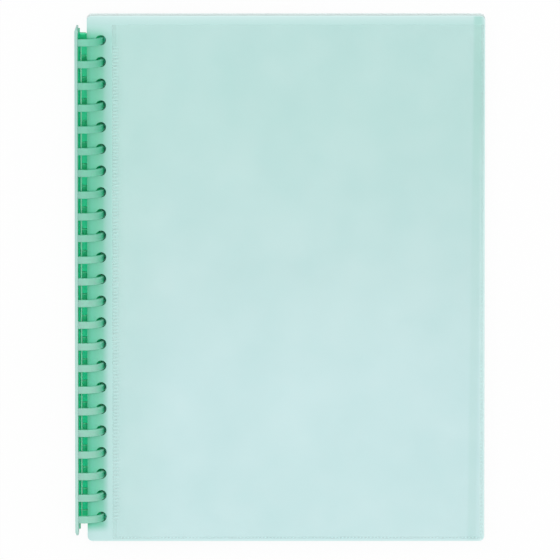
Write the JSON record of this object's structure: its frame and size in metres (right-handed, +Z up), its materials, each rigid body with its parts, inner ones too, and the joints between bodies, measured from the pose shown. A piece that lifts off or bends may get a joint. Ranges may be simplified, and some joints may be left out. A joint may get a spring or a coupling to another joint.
{
  "type": "clear pocket display book",
  "caption": "Closed display book with translucent green covers, clear punched pockets and a ring spine whose two halves open; covers and pockets turn on the rings.",
  "frame": {"origin": "centre of the bounding box in plan, at floor level, with the closed book lying on its back cover", "axes": "+X from the spine to the free edge, +Y to the head of the book, +Z up out of the front cover"},
  "size_m": [0.2356, 0.308, 0.0247],
  "materials": {
    "cover_sheet": "translucent satin polypropylene sheet",
    "spine_plastic": "translucent satin moulded polypropylene",
    "clear_film": "clear film"
  },
  "bodies": {
    "back_cover": {"back_cover": "cover_sheet"},
    "spine_back": {"back_rail": "spine_plastic", "back_rings": "spine_plastic"},
    "spine_front": {"front_rail": "spine_plastic", "front_rings": "spine_plastic"},
    "front_cover": {"front_cover": "cover_sheet", "front_insert": "clear_film"},
    "pocket_01": {"pocket_01_back": "clear_film", "pocket_01_front": "clear_film"},
    "pocket_02": {"pocket_02_back": "clear_film", "pocket_02_front": "clear_film"},
    "pocket_03": {"pocket_03_back": "clear_film", "pocket_03_front": "clear_film"},
    "pocket_04": {"pocket_04_back": "clear_film", "pocket_04_front": "clear_film"},
    "pocket_05": {"pocket_05_back": "clear_film", "pocket_05_front": "clear_film"},
    "pocket_06": {"pocket_06_back": "clear_film", "pocket_06_front": "clear_film"},
    "pocket_07": {"pocket_07_back": "clear_film", "pocket_07_front": "clear_film"},
    "pocket_08": {"pocket_08_back": "clear_film", "pocket_08_front": "clear_film"},
    "pocket_09": {"pocket_09_back": "clear_film", "pocket_09_front": "clear_film"},
    "pocket_10": {"pocket_10_back": "clear_film", "pocket_10_front": "clear_film"},
    "pocket_11": {"pocket_11_back": "clear_film", "pocket_11_front": "clear_film"},
    "pocket_12": {"pocket_12_back": "clear_film", "pocket_12_front": "clear_film"},
    "pocket_13": {"pocket_13_back": "clear_film", "pocket_13_front": "clear_film"},
    "pocket_14": {"pocket_14_back": "clear_film", "pocket_14_front": "clear_film"},
    "pocket_15": {"pocket_15_back": "clear_film", "pocket_15_front": "clear_film"},
    "pocket_16": {"pocket_16_back": "clear_film", "pocket_16_front": "clear_film"},
    "pocket_17": {"pocket_17_back": "clear_film", "pocket_17_front": "clear_film"},
    "pocket_18": {"pocket_18_back": "clear_film", "pocket_18_front": "clear_film"},
    "pocket_19": {"pocket_19_back": "clear_film", "pocket_19_front": "clear_film"},
    "pocket_20": {"pocket_20_back": "clear_film", "pocket_20_front": "clear_film"}
  },
  "joints": [
    {"name": "spine_roll", "type": "hinge", "parent": "back_cover", "child": "spine_back", "pos_m": [-0.10991, 0, 0.00975], "axis": [0, -1, 0], "range_deg": [0, 90]},
    {"name": "ring_open", "type": "hinge", "parent": "spine_back", "child": "spine_front", "pos_m": [-0.11609, 0, 0.01295], "axis": [0, 1, 0], "range_deg": [-60, 0]},
    {"name": "front_cover_turn", "type": "hinge", "parent": "spine_front", "child": "front_cover", "pos_m": [-0.11242, 0, 0.01379], "axis": [0, -1, 0], "range_deg": [0, 93.42]},
    {"name": "pocket_01_turn", "type": "hinge", "parent": "spine_front", "child": "pocket_01", "pos_m": [-0.11236, 0, 0.01367], "axis": [0, -1, 0], "range_deg": [0, 93.07]},
    {"name": "pocket_02_turn", "type": "hinge", "parent": "spine_front", "child": "pocket_02", "pos_m": [-0.11235, 0, 0.01361], "axis": [0, -1, 0], "range_deg": [0, 92.72]},
    {"name": "pocket_03_turn", "type": "hinge", "parent": "spine_front", "child": "pocket_03", "pos_m": [-0.11236, 0, 0.01356], "axis": [0, -1, 0], "range_deg": [0, 92.37]},
    {"name": "pocket_04_turn", "type": "hinge", "parent": "spine_front", "child": "pocket_04", "pos_m": [-0.11236, 0, 0.01351], "axis": [0, -1, 0], "range_deg": [0, 92.02]},
    {"name": "pocket_05_turn", "type": "hinge", "parent": "spine_front", "child": "pocket_05", "pos_m": [-0.11238, 0, 0.01346], "axis": [0, -1, 0], "range_deg": [0, 91.67]},
    {"name": "pocket_06_turn", "type": "hinge", "parent": "spine_front", "child": "pocket_06", "pos_m": [-0.1124, 0, 0.01342], "axis": [0, -1, 0], "range_deg": [0, 91.32]},
    {"name": "pocket_07_turn", "type": "hinge", "parent": "spine_front", "child": "pocket_07", "pos_m": [-0.11242, 0, 0.01339], "axis": [0, -1, 0], "range_deg": [0, 90.97]},
    {"name": "pocket_08_turn", "type": "hinge", "parent": "spine_front", "child": "pocket_08", "pos_m": [-0.11245, 0, 0.01336], "axis": [0, -1, 0], "range_deg": [0, 90.62]},
    {"name": "pocket_09_turn", "type": "hinge", "parent": "spine_front", "child": "pocket_09", "pos_m": [-0.11249, 0, 0.01333], "axis": [0, -1, 0], "range_deg": [0, 90.27]},
    {"name": "pocket_10_turn", "type": "hinge", "parent": "spine_front", "child": "pocket_10", "pos_m": [-0.11252, 0, 0.0133], "axis": [0, -1, 0], "range_deg": [0, 89.92]},
    {"name": "pocket_11_turn", "type": "hinge", "parent": "spine_back", "child": "pocket_11", "pos_m": [-0.10929, 0, 0.01075], "axis": [0, 1, 0], "range_deg": [0, 86.5]},
    {"name": "pocket_12_turn", "type": "hinge", "parent": "spine_back", "child": "pocket_12", "pos_m": [-0.10935, 0, 0.01066], "axis": [0, 1, 0], "range_deg": [0, 86.85]},
    {"name": "pocket_13_turn", "type": "hinge", "parent": "spine_back", "child": "pocket_13", "pos_m": [-0.1094, 0, 0.01057], "axis": [0, 1, 0], "range_deg": [0, 87.2]},
    {"name": "pocket_14_turn", "type": "hinge", "parent": "spine_back", "child": "pocket_14", "pos_m": [-0.10945, 0, 0.01048], "axis": [0, 1, 0], "range_deg": [0, 87.55]},
    {"name": "pocket_15_turn", "type": "hinge", "parent": "spine_back", "child": "pocket_15", "pos_m": [-0.1095, 0, 0.01039], "axis": [0, 1, 0], "range_deg": [0, 87.9]},
    {"name": "pocket_16_turn", "type": "hinge", "parent": "spine_back", "child": "pocket_16", "pos_m": [-0.10955, 0, 0.0103], "axis": [0, 1, 0], "range_deg": [0, 88.25]},
    {"name": "pocket_17_turn", "type": "hinge", "parent": "spine_back", "child": "pocket_17", "pos_m": [-0.1096, 0, 0.01021], "axis": [0, 1, 0], "range_deg": [0, 88.6]},
    {"name": "pocket_18_turn", "type": "hinge", "parent": "spine_back", "child": "pocket_18", "pos_m": [-0.10965, 0, 0.01012], "axis": [0, 1, 0], "range_deg": [0, 88.95]},
    {"name": "pocket_19_turn", "type": "hinge", "parent": "spine_back", "child": "pocket_19", "pos_m": [-0.10971, 0, 0.01003], "axis": [0, 1, 0], "range_deg": [0, 89.3]},
    {"name": "pocket_20_turn", "type": "hinge", "parent": "spine_back", "child": "pocket_20", "pos_m": [-0.10976, 0, 0.00993], "axis": [0, 1, 0], "range_deg": [0, 89.65]}
  ],
  "couplings": [
    {"joint": "front_cover_turn", "follows": "spine_roll", "ratio": 1.0379},
    {"joint": "pocket_01_turn", "follows": "spine_roll", "ratio": 1.0341},
    {"joint": "pocket_02_turn", "follows": "spine_roll", "ratio": 1.0302},
    {"joint": "pocket_03_turn", "follows": "spine_roll", "ratio": 1.0263},
    {"joint": "pocket_04_turn", "follows": "spine_roll", "ratio": 1.0224},
    {"joint": "pocket_05_turn", "follows": "spine_roll", "ratio": 1.0185},
    {"joint": "pocket_06_turn", "follows": "spine_roll", "ratio": 1.0146},
    {"joint": "pocket_07_turn", "follows": "spine_roll", "ratio": 1.0107},
    {"joint": "pocket_08_turn", "follows": "spine_roll", "ratio": 1.0068},
    {"joint": "pocket_09_turn", "follows": "spine_roll", "ratio": 1.0029},
    {"joint": "pocket_10_turn", "follows": "spine_roll", "ratio": 0.99906},
    {"joint": "pocket_11_turn", "follows": "spine_roll", "ratio": 0.96111},
    {"joint": "pocket_12_turn", "follows": "spine_roll", "ratio": 0.965},
    {"joint": "pocket_13_turn", "follows": "spine_roll", "ratio": 0.96889},
    {"joint": "pocket_14_turn", "follows": "spine_roll", "ratio": 0.97278},
    {"joint": "pocket_15_turn", "follows": "spine_roll", "ratio": 0.97667},
    {"joint": "pocket_16_turn", "follows": "spine_roll", "ratio": 0.98056},
    {"joint": "pocket_17_turn", "follows": "spine_roll", "ratio": 0.98444},
    {"joint": "pocket_18_turn", "follows": "spine_roll", "ratio": 0.98833},
    {"joint": "pocket_19_turn", "follows": "spine_roll", "ratio": 0.99222},
    {"joint": "pocket_20_turn", "follows": "spine_roll", "ratio": 0.99611}
  ]
}
